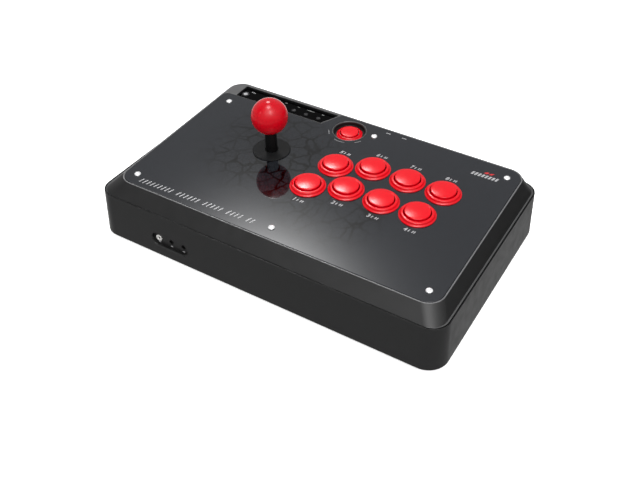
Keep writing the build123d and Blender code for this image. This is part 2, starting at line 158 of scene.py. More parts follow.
def skin(outlines, radii, closed=False):
    """Closed solid through matching outlines, with the edge along each one rounded to its radius."""
    rings = []
    count = len(outlines)
    for k, (outline, radius) in enumerate(zip(outlines, radii)):
        at_end = not closed and k in (0, count - 1)
        if at_end or radius <= 0:
            rings.append(outline)
            continue
        before, after = outlines[k - 1], outlines[(k + 1) % count]
        arcs = [fillet(b, c, a, radius) for b, c, a in zip(before, outline, after)]
        rings += [list(ring) for ring in zip(*arcs)]
    bm = bmesh.new()
    rows = [[bm.verts.new(p) for p in ring] for ring in rings]
    pairs = list(zip(rows, rows[1:])) + ([(rows[-1], rows[0])] if closed else [])
    for low, high in pairs:
        for i in range(len(low)):
            j = (i + 1) % len(low)
            bm.faces.new((low[i], low[j], high[j], high[i]))
    if not closed:
        bm.faces.new(list(reversed(rows[0])))
        bm.faces.new(rows[-1])
    bmesh.ops.remove_doubles(bm, verts=bm.verts, dist=1e-5)
    bmesh.ops.dissolve_degenerate(bm, edges=bm.edges, dist=1e-5)
    bmesh.ops.recalc_face_normals(bm, faces=bm.faces)
    return bm


def plan(corners, inset=0.0, steps=CORNER_STEPS, sides=1):
    """Outline through (x, y, radius) corners, anticlockwise, moved in by inset.

    steps is the number of segments of a rounded corner, and sides that of a long straight side.
    """
    count = len(corners)
    points = [Vector(c[:2]) for c in corners]
    moved, radii = [], []
    for i, here in enumerate(points):
        into = (here - points[i - 1]).normalized()
        out = (points[(i + 1) % count] - here).normalized()
        left_in, left_out = Vector((-into.y, into.x)), Vector((-out.y, out.x))
        moved.append(here + (left_in + left_out) * inset / (1 + left_in.dot(left_out)))
        convex = into.x * out.y - into.y * out.x > 0
        radius = corners[i][2]
        radii.append(max(radius - inset if convex else radius + inset, 0.01) if radius else 0.0)
    result = []
    for i, here in enumerate(moved):
        before, after = moved[i - 1], moved[(i + 1) % count]
        if radii[i]:
            a, b = (before - here).normalized(), (after - here).normalized()
            half = a.angle(b) / 2
            centre = here + (a + b).normalized() * radii[i] / math.sin(half)
            start = here + a * radii[i] / math.tan(half) - centre
            end = here + b * radii[i] / math.tan(half) - centre
            turn = math.pi - 2 * half
            for k in range(steps + 1):
                s = k / steps
                result.append(centre + (start * math.sin((1 - s) * turn) + end * math.sin(s * turn))
                              / math.sin(turn))
        else:
            result.append(here)
    if sides == 1:
        return result
    dense = []
    for p, q in zip(result, result[1:] + result[:1]):
        dense.append(p)
        if (q - p).length > LONG_SIDE:
            dense += [p.lerp(q, k / sides) for k in range(1, sides)]
    return dense


def rectangle(half_x, half_y, radius, middle_y=0.0):
    """Corners for plan(): a rectangle about the middle of the object."""
    return [(-half_x, middle_y - half_y, radius), (half_x, middle_y - half_y, radius),
            (half_x, middle_y + half_y, radius), (-half_x, middle_y + half_y, radius)]


def raised(points, height, place=Matrix()):
    """Plane points lifted to a height, in a place."""
    return [place @ Vector((p.x, p.y, height)) for p in points]


def prism(corners, layers, place=Matrix(), steps=6):
    """Solid on a plan, through (inset, height, edge radius) layers."""
    outlines = [raised(plan(corners, inset, steps), height, place) for inset, height, _ in layers]
    return skin(outlines, [layer[2] for layer in layers])


def turned(profile, place=Matrix(), steps=TURN_STEPS, closed=False):
    """Solid of revolution about the local Z from (radius, height[, edge radius]) corners."""
    angles = [2 * math.pi * k / steps for k in range(steps)]
    outlines = [[place @ Vector((c[0] * math.cos(a), c[0] * math.sin(a), c[1])) for a in angles]
                for c in profile]
    return skin(outlines, [c[2] if len(c) > 2 else 0.0 for c in profile], closed)


def arc(radius, height, first, last, steps):
    """Profile points of a circle about (0, height) from one angle above the horizon to another."""
    angles = [math.radians(first + (last - first) * k / steps) for k in range(steps + 1)]
    return [(radius * math.cos(a), height + radius * math.sin(a)) for a in angles]


def merged(solids):
    """One bmesh that holds several separate solids."""
    result = bmesh.new()
    for bm in solids:
        mesh = bpy.data.meshes.new("part")
        bm.to_mesh(mesh)
        bm.free()
        result.from_mesh(mesh)
        bpy.data.meshes.remove(mesh)
    return result


def loose_object(bm):
    mesh = bpy.data.meshes.new("loose")
    bm.to_mesh(mesh)
    bm.free()
    thing = bpy.data.objects.new("loose", mesh)
    bpy.context.scene.collection.objects.link(thing)
    return thing


def combined(base, others, operation="DIFFERENCE"):
    """The base solid with each of the others cut away from it, or added to it."""
    made = [loose_object(bm) for bm in (base, *others)]
    for other in made[1:]:
        modifier = made[0].modifiers.new("combine", "BOOLEAN")
        modifier.operation, modifier.object, modifier.solver = operation, other, "EXACT"
    graph = bpy.context.evaluated_depsgraph_get()
    result = bmesh.new()
    result.from_mesh(made[0].evaluated_get(graph).to_mesh())
    for thing in made:
        bpy.data.objects.remove(thing)
    bmesh.ops.remove_doubles(result, verts=result.verts, dist=1e-4)
    return result


def piece(name, bm, material, body="console", stands_for=(), sharp=32.0):
    """Puts a finished solid into the scene: metres, smooth faces with crisp edges, body and slot."""
    bmesh.ops.scale(bm, vec=(MM,) * 3, verts=bm.verts)
    for face in bm.faces:
        face.smooth = True
    for edge in bm.edges:
        edge.smooth = edge.calc_face_angle(math.pi) < math.radians(sharp)
    mesh = bpy.data.meshes.new(name)
    bm.to_mesh(mesh)
    bm.free()
    mesh.materials.append(material)
    made = bpy.data.objects.new(name, mesh)
    bpy.context.scene.collection.objects.link(made)
    normals = made.modifiers.new("flat_faces_flat", "WEIGHTED_NORMAL")
    normals.keep_sharp, normals.weight = True, 100
    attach(made, body)
    if stands_for:
        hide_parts(*([stands_for] if isinstance(stands_for, str) else stands_for))
    return made


# ---------------------------------------------------------------- materials
def shader(name):
    """New material with its node tree and its Principled shader."""
    material = bpy.data.materials.new(name)
    material.use_nodes = True
    nodes = material.node_tree.nodes
    return material, material.node_tree, nodes["Principled BSDF"]


def node(tree, kind, **values):
    """New shader node; each value goes to the input or the setting of that name."""
    made = tree.nodes.new(kind)
    for key, value in values.items():
        if key in made.inputs:
            made.inputs[key].default_value = value
        else:
            setattr(made, key, value)
    return made


def noise(tree, size, detail=4.0, stretch=(1, 1, 1)):
    """Noise whose features are about size millimetres."""
    coordinates = tree.nodes.new("ShaderNodeTexCoord").outputs["Object"]
    scaled = node(tree, "ShaderNodeMapping")
    scaled.inputs["Scale"].default_value = stretch
    tree.links.new(coordinates, scaled.inputs["Vector"])
    texture = node(tree, "ShaderNodeTexNoise", Scale=1 / (size * MM), Detail=detail)
    tree.links.new(scaled.outputs["Vector"], texture.inputs["Vector"])
    return texture.outputs["Fac"]


def spread(tree, source, low, high, from_low=0.3, from_high=0.7, smooth=False):
    """Maps a 0 to 1 pattern onto a range of values."""
    mapped = node(tree, "ShaderNodeMapRange")
    if smooth:
        mapped.interpolation_type = "SMOOTHSTEP"
    mapped.inputs["From Min"].default_value = from_low
    mapped.inputs["From Max"].default_value = from_high
    mapped.inputs["To Min"].default_value = low
    mapped.inputs["To Max"].default_value = high
    tree.links.new(source, mapped.inputs["Value"])
    return mapped.outputs["Result"]


def mixed(tree, factor, first, second):
    """Colour mix; first and second are colours or sockets."""
    mix = node(tree, "ShaderNodeMix", data_type="RGBA")
    tree.links.new(factor, mix.inputs["Factor"])
    for key, value in (("A", first), ("B", second)):
        socket = next(s for s in mix.inputs if s.name == key and s.type == "RGBA")
        if isinstance(value, tuple):
            socket.default_value = (*value, 1)
        else:
            tree.links.new(value, socket)
    return next(s for s in mix.outputs if s.type == "RGBA")


def bumped(tree, bsdf, heights):
    """Chains bumps, each a (pattern, depth in millimetres) pair, into the shader's normal."""
    previous = None
    for pattern, depth in heights:
        bump = node(tree, "ShaderNodeBump", Strength=1.0, Distance=depth * MM)
        tree.links.new(pattern, bump.inputs["Height"])
        if previous:
            tree.links.new(previous, bump.inputs["Normal"])
        previous = bump.outputs["Normal"]
    tree.links.new(previous, bsdf.inputs["Normal"])


def scaled_colour(colour, factor):
    return tuple(min(1.0, c * factor) for c in colour)


def moulded(name, colour, roughness, grain=0.35, depth=0.02, vary=0.12, coat=0.0, metallic=0.0,
            specular=0.5, stretch=(1, 1, 1), blotch=25.0):
    """Plastic, rubber, paint or metal: blotches of tone, uneven gloss, and a fine grain in relief.

    grain and blotch are feature sizes and depth the relief, in millimetres; vary is the change of tone.
    """
    material, tree, bsdf = shader(name)
    bsdf.inputs["Metallic"].default_value = metallic
    bsdf.inputs["Specular IOR Level"].default_value = specular
    bsdf.inputs["Coat Weight"].default_value = coat
    bsdf.inputs["Coat Roughness"].default_value = 0.05
    blotches = noise(tree, blotch, 5.0)
    fine = noise(tree, grain, 3.0, stretch=stretch)
    tone = mixed(tree, blotches, scaled_colour(colour, 1 - vary), scaled_colour(colour, 1 + vary))
    speck = mixed(tree, spread(tree, fine, 0.0, 1.0), tone, scaled_colour(colour, 1 + 0.6 * vary))
    tree.links.new(speck, bsdf.inputs["Base Color"])
    smudges = noise(tree, blotch * 0.4, 6.0)
    tree.links.new(spread(tree, smudges, roughness * 0.86, roughness * 1.14), bsdf.inputs["Roughness"])
    bumped(tree, bsdf, [(fine, depth), (blotches, depth * 0.6)])
    return material


def radial_mask(tree, coordinates, centre, inner, outer):
    """1 inside the inner radius round a deck place, falling to 0 at the outer one."""
    at = DECK @ Vector((*centre, 0))
    reach = node(tree, "ShaderNodeVectorMath", operation="DISTANCE")
    tree.links.new(coordinates, reach.inputs[0])
    reach.inputs[1].default_value = at * MM
    return spread(tree, reach.outputs["Value"], 1.0, 0.0, inner * MM, outer * MM, smooth=True)


def maths(tree, operation, first, second):
    made = node(tree, "ShaderNodeMath", operation=operation)
    for socket, value in zip(made.inputs, (first, second)):
        if isinstance(value, (int, float)):
            socket.default_value = value
        else:
            tree.links.new(value, socket)
    return made.outputs["Value"]


def cracked_ground(tree, coordinates, cell, width, warp):
    """Lines of dried, cracked ground: cells of the given size with wavering edges of the given width."""
    wander = node(tree, "ShaderNodeTexNoise", Scale=1 / (cell * 0.8 * MM), Detail=3.0)
    tree.links.new(coordinates, wander.inputs["Vector"])
    shift = node(tree, "ShaderNodeVectorMath", operation="MULTIPLY_ADD")
    tree.links.new(wander.outputs["Color"], shift.inputs[0])
    shift.inputs[1].default_value = (warp * MM,) * 3
    tree.links.new(coordinates, shift.inputs[2])
    cells = node(tree, "ShaderNodeTexVoronoi", feature="DISTANCE_TO_EDGE", Scale=1 / (cell * MM))
    tree.links.new(shift.outputs["Vector"], cells.inputs["Vector"])
    edge = width / cell
    return spread(tree, cells.outputs["Distance"], 1.0, 0.0, edge * 0.35, edge, smooth=True)


def panel_material():
    """Clear acrylic over a charcoal print of cracked ground, which fades out away from the controls."""
    material, tree, bsdf = shader("panel_gloss")
    coordinates = tree.nodes.new("ShaderNodeTexCoord").outputs["Object"]
    below_buttons = ((BUTTONS[0][0] + BUTTONS[2][0]) / 2, BUTTONS[1][1] - 32)
    zones = [radial_mask(tree, coordinates, *zone)
             for zone in ((STICK, 34, 84), (BUTTONS[0], 30, 60), (below_buttons, 24, 62))]
    zone = zones[0]
    for other in zones[1:]:
        zone = maths(tree, "MAXIMUM", zone, other)
    patchy = spread(tree, noise(tree, 38, 3.0), 0.45, 1.0, 0.38, 0.52, smooth=True)
    zone = maths(tree, "MULTIPLY", zone, patchy)
    wide = cracked_ground(tree, coordinates, 16, 1.3, 7)
    narrow = cracked_ground(tree, coordinates, 7.5, 0.55, 4)
    lines = maths(tree, "MAXIMUM", wide, maths(tree, "MULTIPLY", narrow, 0.5))
    lines = maths(tree, "MULTIPLY", lines, zone)
    print_colour = (0.0135, 0.0150, 0.0185)
    darker, lighter = scaled_colour(print_colour, 0.82), scaled_colour(print_colour, 1.16)
    dusty = mixed(tree, noise(tree, 5, 6.0), darker, lighter)
    ground = mixed(tree, maths(tree, "MULTIPLY", zone, 0.35), dusty, scaled_colour(print_colour, 0.7))
    tree.links.new(mixed(tree, lines, ground, (0.0, 0.0, 0.0)), bsdf.inputs["Base Color"])
    bsdf.inputs["Specular IOR Level"].default_value = 0.5
    smudges = noise(tree, 30, 6.0)
    tree.links.new(spread(tree, smudges, 0.035, 0.065), bsdf.inputs["Roughness"])
    bumped(tree, bsdf, [(noise(tree, 45, 2.0), 0.02), (noise(tree, 0.5, 2.0), 0.0006)])
    return material


# name: material name, colour, roughness, and what differs from the defaults of moulded()
FINISHES = {
    "case": ("case_plastic", (0.0098, 0.0098, 0.0100), 0.33, dict(grain=0.45, depth=0.010, specular=0.4)),
    "strip": ("key_strip_gloss", (0.0007, 0.0007, 0.0008), 0.12,
              dict(grain=1.0, depth=0.002, specular=0.03)),
    "button": ("button_red", (0.66, 0.0002, 0.0075), 0.15,
               dict(grain=1.2, depth=0.002, vary=0.05, specular=0.4)),
    "ball": ("ball_red", (0.48, 0.0005, 0.0075), 0.10,
             dict(grain=2.0, depth=0.003, vary=0.07, specular=0.34)),
    # the rim's crest: case plastic made lighter, a painted highlight
    "rim": ("case_rim_painted_highlight", (0.13, 0.13, 0.133), 0.3,
            dict(grain=0.5, depth=0.012, vary=0.22, blotch=9.0)),
    # level faces of the upper case: case plastic made lighter, painted light from above
    "corner": ("case_level_painted_light", (0.040, 0.040, 0.041), 0.33,
               dict(grain=0.5, depth=0.012, vary=0.2, blotch=14.0)),
    "black": ("black_plastic", (0.004, 0.004, 0.0042), 0.35, dict(grain=0.4, depth=0.012, specular=0.3)),
    "washer": ("washer_black", (0.0105, 0.0109, 0.0113), 0.5,
               dict(grain=0.5, depth=0.008, specular=0.08)),
    "key": ("key_grey", (0.016, 0.016, 0.017), 0.5, dict(grain=0.4, depth=0.006, specular=0.2)),
    "screw": ("screw_chrome", (0.93, 0.93, 0.94), 0.25,
              dict(grain=0.6, depth=0.004, vary=0.03, metallic=0.5)),
    "steel": ("steel", (0.5, 0.5, 0.52), 0.3,
              dict(grain=0.3, depth=0.006, metallic=1.0, stretch=(1, 1, 0.1))),
    "base": ("base_paint", (0.010, 0.010, 0.011), 0.5, dict(grain=0.8, depth=0.04)),
    "spring": ("spring_steel", (0.42, 0.42, 0.45), 0.28, dict(grain=0.2, depth=0.005, metallic=1.0)),
    "jack": ("jack_metal", (0.85, 0.84, 0.82), 0.25, dict(grain=0.3, depth=0.006, metallic=0.7)),
    "rubber": ("rubber", (0.013, 0.013, 0.013), 0.75, dict(grain=0.5, depth=0.05)),
    "board": ("board_green", (0.008, 0.085, 0.03), 0.35, dict(grain=1.5, depth=0.02, coat=0.3)),
    "brass": ("brass", (0.72, 0.5, 0.18), 0.3, dict(grain=0.3, depth=0.006, metallic=1.0)),
    "lens": ("lens_white", (0.13, 0.135, 0.13), 0.3, dict(grain=0.5, depth=0.006)),
    "ink": ("white_print", (0.34, 0.34, 0.35), 0.3, dict(grain=0.8, depth=0.002, vary=0.06)),
    "faint_ink": ("grey_print", (0.12, 0.12, 0.125), 0.3, dict(grain=0.8, depth=0.002, vary=0.06)),
    "red_ink": ("red_print", (0.5, 0.01, 0.015), 0.3, dict(grain=0.8, depth=0.002, vary=0.06)),
}
MATERIALS = {key: moulded(name, colour, roughness, **extras)
             for key, (name, colour, roughness, extras) in FINISHES.items()}
MATERIALS["panel"] = panel_material()


# ---------------------------------------------------------------- case
def case_outline(z, inset):
    lean = DRAFT * (SPLIT - z)
    corners = rectangle(CASE_X + lean, CASE_Y + lean, CASE_RADIUS + lean)
    return raised(plan(corners, inset, sides=SIDE_STEPS), z)


def rim_outline(inset, height):
    corners = rectangle(RIM_X, RIM_Y, RIM_RADIUS, RIM_MIDDLE)
    return raised(plan(corners, inset, sides=SIDE_STEPS), height, DECK)


def front_place(x, z, depth=0.0):
    """Placement on the front wall with the local Z pointing out of it."""
    wall = -(CASE_Y + DRAFT * (SPLIT - z))
    return Matrix.Translation((x, wall + depth, z)) @ Matrix.Rotation(math.radians(90), 4, "X")


def lower_case():
    """Lower shell, with its step at the split, the recess for the sockets and the bush's hole."""
    wall, ledge, foot = 3.0, 6.5, 1.5    # thickness of the wall, of its ledge and of its lower edge
    layers = [(0, BASE, 0.8), (0, SPLIT, 0.15), (LIP, SPLIT, 0.1), (LIP, SEAT, 0), (ledge, SEAT, 0),
              (ledge, SEAT - 3.0, 0), (wall, SEAT - 3.0, 0), (wall, BASE + 1.5, 0),
              (foot, BASE + 1.5, 0), (foot, BASE, 0.2)]
    outlines = [case_outline(z, inset) for inset, z, _ in layers]
    shell = skin(outlines, [layer[2] for layer in layers], closed=True)

    x, z = PORT_MIDDLE
    place = front_place(x, z)
    half_x, half_z = 20.5, 7.0
    pad = prism(rectangle(half_x + 5, half_z + 4, 2), [(0, -6.2, 0), (0, -2.2, 0)], place)
    slot = rectangle(half_x, half_z, half_z - 0.01)
    recess = prism(slot, [(0, -PORT_DEPTH, 0.5), (0, -0.4, 0.5), (-1.6, 1.2, 0)], place, steps=12)
    bore = [(2.8, -9), (2.8, -PORT_DEPTH + 0.5)]
    holes = [turned(bore, place @ Matrix.Translation((dx, 0, 0)), SMALL_STEPS)
             for dx in (-PORT_PITCH, 0, PORT_PITCH)]
    low, high = box_mm("cable_bush")
    bush = (Matrix.Translation(((low.x + high.x) / 2, CASE_Y, (low.z + high.z) / 2))
            @ Matrix.Rotation(math.radians(-90), 4, "X"))
    exit_hole = turned([(6.0, -12), (6.0, 12)], bush, SMALL_STEPS)
    shell = combined(shell, [pad], "UNION")
    shell = combined(shell, [recess, *holes, exit_hole])
    piece("lower_case_shell", shell, MATERIALS["case"], stands_for="lower_case")


def strip_corners(grow):
    """Plan of the key strip, slanted at its right end."""
    left, front, back = STRIP_LOW.x - grow, STRIP_LOW.y - grow, STRIP_HIGH.y + grow
    slant = 1.2 * grow
    return [(left, front, 0.6), (STRIP_FRONT_RIGHT + slant, front, 0.6),
            (STRIP_HIGH.x + slant, back, 0.6), (left, back, 0.6)]


def panel_corners():
    """Plan of the top panel: the rim's outline less the corner that holds the key strip."""
    right, front, back = PANEL_HIGH.x, PANEL_LOW.y, PANEL_HIGH.y
    notch = STRIP_LOW.y - STRIP_GAP - NOTCH_MARGIN
    slope = (STRIP_HIGH.x - STRIP_FRONT_RIGHT) / (STRIP_HIGH.y - STRIP_LOW.y)
    near = STRIP_FRONT_RIGHT + 1.2 * (STRIP_GAP + NOTCH_MARGIN)
    far = near + slope * (back - notch)
    radius = RIM_RADIUS - RIM_WIDTH
    return [(-right, front, radius), (right, front, radius), (right, back, radius), (far, back, 0.8),
            (near, notch, 1.0), (-right, notch, 6.0)]


def deck_hole(at, radius, bottom=-9):
    """Cutter for a round hole in the deck, from the given height to 3 mm above the panel."""
    return turned([(radius, bottom), (radius, 3)], on_deck(*at), HOLE_STEPS)


MOULDED, PAINTED_HIGHLIGHT, PAINTED_LIGHT = 0, 1, 2        # material slots of the upper case: plain, painted highlight on the rim's crest, painted light on level faces


def wear_of(face):
    """Slot of a face of the upper case: the crest of the rim is made lighter as a painted highlight, and the
    level plastic inside it and at the step is made lighter as painted light from above."""
    middle = face.calc_center_median()
    if abs(middle.z - SPLIT) < 0.05 and face.normal.z > 0.9:
        return PAINTED_LIGHT
    at = DECK.inverted() @ middle
    if at.z < -PAINTED_RIM_BAND:
        return MOULDED
    past = Vector((abs(at.x) - RIM_X + RIM_RADIUS, abs(at.y - RIM_MIDDLE) - RIM_Y + RIM_RADIUS))
    outside = Vector((max(past.x, 0), max(past.y, 0))).length + min(max(past.x, past.y), 0)
    return PAINTED_HIGHLIGHT if RIM_RADIUS - outside < RIM_WIDTH else PAINTED_LIGHT


def upper_case():
    """Upper shell, sunk for the panel and the key strip, and the well of the small button."""
    foot = rectangle(173.5, 107.9, 14.6, middle_y=-0.6)   # so that the flat step fades out in front
    hollow = rectangle(171.0, 105.8, 12.0)
    outlines = [
        (raised(plan(hollow, sides=SIDE_STEPS), SEAT), 0),
        (case_outline(SEAT, GROOVE), 0),
        (case_outline(SPLIT, GROOVE), 0.2),
        (raised(plan(foot, sides=SIDE_STEPS), SPLIT), 0),
        (rim_outline(0, 0), 0.7),
        (rim_outline(RIM_WIDTH, 0), 0),
        (rim_outline(6, 0), 0),
    ]
    crown = skin([o[0] for o in outlines], [o[1] for o in outlines])
    under = skin([raised(plan(hollow, sides=SIDE_STEPS), SEAT - 2), rim_outline(3, -5.0)], [0, 0])
    crown = combined(crown, [under])

    gap = 0.15                           # round the edge of the panel
    sides = [(-gap, -PANEL_THICK, 0), (-gap, -0.5, 0.1), (-gap - 1.3, 0.8, 0)]
    recess = prism(panel_corners(), sides, DECK, steps=CORNER_STEPS)
    strip = prism(strip_corners(STRIP_GAP), [(0, STRIP_LOW.z, 0), (0, -0.25, 0.2), (-1.2, 1.0, 0)], DECK)
    cutters = [recess, strip]
    cutters += [deck_hole(at, BUTTON_HOLE, -30) for at in BUTTONS]
    cutters += [deck_hole(STICK, STICK_HOLE, -30), deck_hole(SMALL_BUTTON, WELL_RADIUS, SMALL_FLOOR)]
    crown = combined(crown, cutters)
    # lighter copies of the case plastic: a painted highlight on the rim's crest and painted light on the level
    # faces
    for face in crown.faces:
        face.material_index = wear_of(face)
    shell = piece("upper_case_shell", crown, MATERIALS["case"], stands_for="upper_case")
    shell.data.materials.append(MATERIALS["rim"])
    shell.data.materials.append(MATERIALS["corner"])

    well = [(12.0, SMALL_FLOOR - 2.5), (18.0, SMALL_FLOOR - 2.5), (18.0, SMALL_FLOOR),
            (17.3, SMALL_FLOOR + 0.1), (17.3, 0.05, 0.25), (16.6, 0.05, 0.25), (WELL_RADIUS, -0.6, 0.2),
            (WELL_RADIUS, SMALL_FLOOR, 0.3), (12.0, SMALL_FLOOR, 0.3)]
    collar = turned(well, on_deck(*SMALL_BUTTON), closed=True)
    # the collar's top edge takes the lighter plastic, a painted highlight
    for face in collar.faces:
        face.material_index = 1 if wear_of(face) else 0
    collar = piece("small_button_well", collar, MATERIALS["case"])
    collar.data.materials.append(MATERIALS["corner"])


def top_panel():
    """Clear panel with a small bevel, cut for the controls and the screws."""
    bevel = 0.35
    layers = [(0, -PANEL_THICK, 0), (0, -bevel, 0.1), (bevel, 0, 0.1), (5, 0, 0)]
    plate = prism(panel_corners(), layers, DECK, steps=CORNER_STEPS)
    cutters = [deck_hole(at, BUTTON_HOLE) for at in BUTTONS]
    cutters += [deck_hole(STICK, STICK_HOLE), deck_hole(SMALL_BUTTON, WELL_RADIUS + 1.4)]
    cutters += [deck_hole(at, 2.1) for at in PANEL_SCREWS]
    plate = combined(plate, cutters)
    piece("top_panel_acrylic", plate, MATERIALS["panel"], stands_for="top_panel")


def function_panel():
    """Key strip and its four round keys, dished on top."""
    layers = [(0, STRIP_LOW.z, 0), (0, STRIP_HIGH.z, 0.15), (1, STRIP_HIGH.z, 0)]
    plate = prism(strip_corners(0), layers, DECK)
    keys = ["home_key"] + [f"function_key_{n}" for n in (1, 2, 3)]
    cutters = []
    for key in keys:
        low, high = deck_box(key)
        radius = (high.x - low.x) / 2 - KEY_FLANGE + 0.3
        cutters.append(deck_hole(deck_middle(key), radius))
    plate = combined(plate, cutters)
    piece("key_strip", plate, MATERIALS["strip"], stands_for="function_panel")
    for key in keys:
        low, high = deck_box(key)
        flange, top = (high.x - low.x) / 2, high.z
        radius = flange - KEY_FLANGE
        profile = [(0, low.z), (flange, low.z), (flange, low.z + 1.1), (radius, low.z + 1.1),
                   (radius, top, 0.35), (radius * 0.75, top, 0.2), (radius * 0.6, top - 0.12),
                   (0, top - 0.15)]
        cap = turned(profile, on_deck(*deck_middle(key)), HOLE_STEPS)
        body = "home_key_cap" if key == "home_key" else key + "_cap"
        piece(key + "_top", cap, MATERIALS["key"], body, stands_for=key)


# ---------------------------------------------------------------- controls
def push_button(suffix, housing_node, plunger_node, plunger_body, barrel, crest, soft, flange,
                height, bore, cap, edge, rise):
    """Bezel and cap of one button.

    barrel, crest, flange, bore and cap are radii; soft rounds the crest off; height and edge are the
    crest's and the cap edge's height over the panel, and rise is that of the cap's dome.
    """
    low, high = deck_box(housing_node)
    seat = high.z - height
    place = on_deck(*deck_middle(housing_node), seat)
    bottom = low.z - seat
    housing = [(bore, height, 0.25), (crest, height, soft), (flange - 2.2, height - 0.4, 0.6),
               (flange - 1.6, 1.3, 1.7), (flange - 0.3, 0.85, 0.5), (flange - 0.3, 0, 0.1), (barrel, 0),
               (barrel, bottom, 0.4), (bore - 3.5, bottom), (bore - 3.5, bottom + 1.4),
               (bore, bottom + 1.4)]
    piece(f"{suffix}_bezel", turned(housing, place, closed=True), MATERIALS["button"],
          stands_for=housing_node)

    cap_low = deck_box(plunger_node)[0].z - seat
    cap -= 0.4                           # leaves a dark gap inside the bezel
    skirt = cap_low + 1.4
    reach = cap - 0.5
    shares = [k / 14 for k in range(15)]
    dome = [(reach * share, edge + rise * (1 - share ** 2)) for share in shares]
    profile = [(0, cap_low), (3.0, cap_low), (3.0, edge - 1.5), (cap - 1.5, edge - 1.6),
               (cap - 1.5, skirt), (cap, skirt), (cap, edge - 0.3, 0.45)] + list(reversed(dome))
    piece(f"{suffix}_cap", turned(profile, place), MATERIALS["button"], plunger_body,
          stands_for=plunger_node, sharp=40)


def lever():
    """Ball top, shaft cover and dust washer."""
    place = on_deck(*STICK)
    low, high = deck_box("ball_top")
    radius = (high.x - low.x) / 2
    centre = high.z - radius
    flat = low.z - centre
    flat_angle = math.degrees(math.asin(flat / radius))
    ball = arc(radius, centre, flat_angle + 1.2, 90, 60)
    ball[-1] = (0, centre + radius)
    profile = [(0, centre + 3), (3.0, centre + 3), (3.0, low.z, 0.3),
               (ball[0][0] - 0.4, low.z, 0.4)] + ball
    piece("ball_knob", turned(profile, place, 128), MATERIALS["ball"], "lever", stands_for="ball_top",
          sharp=50)

    low, high = deck_box("shaft_cover")
    outer = (high.x - low.x) / 2
    groove = outer - 0.35
    cover = [(4.8, low.z), (outer, low.z, 0.3), (outer, high.z - 1.6, 0.1), (groove, high.z - 1.4, 0.1),
             (groove, high.z - 0.9, 0.1), (outer, high.z - 0.7, 0.1), (outer, high.z, 0.3),
             (4.8, high.z)]
    piece("shaft_sleeve", turned(cover, place, closed=True), MATERIALS["black"], "lever",
          stands_for="shaft_cover")

    low, high = deck_box("dust_washer")
    edge = (high.x - low.x) / 2
    washer = [(6.25, low.z), (edge - 0.3, low.z, 0.1), (edge, low.z + 0.35, 0.25),
              (edge - 0.35, high.z - 0.35, 0.3), (edge - 1.6, high.z - 0.22, 0.2),
              (9.0, high.z - 0.05, 0.3), (6.9, high.z, 0.2), (6.25, high.z - 0.1, 0.1)]
    piece("dust_cover_disc", turned(washer, place, closed=True), MATERIALS["washer"], "washer",
          stands_for="dust_washer")


def screw_head(place, radius, height, socket):
    """Domed screw head with a hexagonal socket, on a short neck that sinks into the panel."""
    rim = 0.45                           # height of the head's straight side
    dome = [(radius * math.cos(t), rim + (height - rim) * math.sin(t))
            for t in [math.radians(a) for a in range(0, 90, 9)]] + [(0, height)]
    neck = [(0, -0.6), (radius * 0.5, -0.6), (radius * 0.5, 0), (radius - 0.1, 0), (radius, 0.2, 0.1)]
    head = turned(neck + dome, place, SMALL_STEPS)
    ring = [(socket * math.cos(math.radians(a)), socket * math.sin(math.radians(a)), 0)
            for a in range(0, 360, 60)]
    return combined(head, [prism(ring, [(0, height * 0.35, 0), (0, height + 2, 0)], place)])


def fasteners():
    """Heads of the six panel screws."""
    heads = [screw_head(on_deck(*at), 3.0, 1.7, 1.25) for at in PANEL_SCREWS]
    piece("panel_screw_heads", merged(heads), MATERIALS["screw"], stands_for="panel_screws")


# ---------------------------------------------------------------- sockets
def sockets():
    """Headset jack and two plain sockets in the recess of the front wall."""
    x, z = PORT_MIDDLE
    place = front_place(x, z, PORT_DEPTH)
    jack = [(1.6, -13), (2.7, -13), (2.7, 0.02), (3.3, 0.02), (3.3, 1.0, 0.3), (1.9, 1.0, 0.2),
            (1.6, 0.6, 0.1)]
    left = place @ Matrix.Translation((-PORT_PITCH, 0, 0))
    piece("headset_socket", turned(jack, left, SMALL_STEPS, closed=True), MATERIALS["jack"],
          stands_for="headset_jack")
    plain = [(1.8, -13), (2.7, -13), (2.7, 0.2, 0.15), (2.1, 0.2, 0.1), (1.8, -0.1, 0.1)]
    both = [turned(plain, place @ Matrix.Translation((dx, 0, 0)), SMALL_STEPS, closed=True)
            for dx in (0, PORT_PITCH)]
    piece("round_sockets", merged(both), MATERIALS["black"], stands_for="side_sockets")


# ---------------------------------------------------------------- printed marks
INK = [(0, -0.02, 0), (0, 0.03, 0)]      # bottom and top of the ink, from the surface it is printed on


def bars(words, start, end, tall, share=0.5, lean=0.25, height=0.0):
    """Slanted bars in groups along a line, in place of words; each bar fills a share of its pitch."""
    along = Vector(end) - Vector(start)
    pitch = along.length / (sum(words) + len(words) - 1)
    place = on_deck(*start, height, math.atan2(along.y, along.x))
    wide, slant = share * pitch, lean * tall
    solids, x = [], 0.0
    for word in words:
        for _ in range(word):
            corners = [(x, 0, 0), (x + wide, 0, 0), (x + wide + slant, tall, 0), (x + slant, tall, 0)]
            solids.append(prism(corners, INK, place))
            x += pitch
        x += pitch
    return solids


def arc_bar(centre, radius, width, first, last):
    """Printed arc round a deck place, between two angles in degrees."""
    angles = [math.radians(first + (last - first) * k / 12) for k in range(13)]
    inside, outside = radius - width / 2, radius + width / 2
    corners = [(outside * math.cos(a), outside * math.sin(a), 0) for a in angles]
    corners += [(inside * math.cos(a), inside * math.sin(a), 0) for a in reversed(angles)]
    return prism(corners, INK, on_deck(*centre))


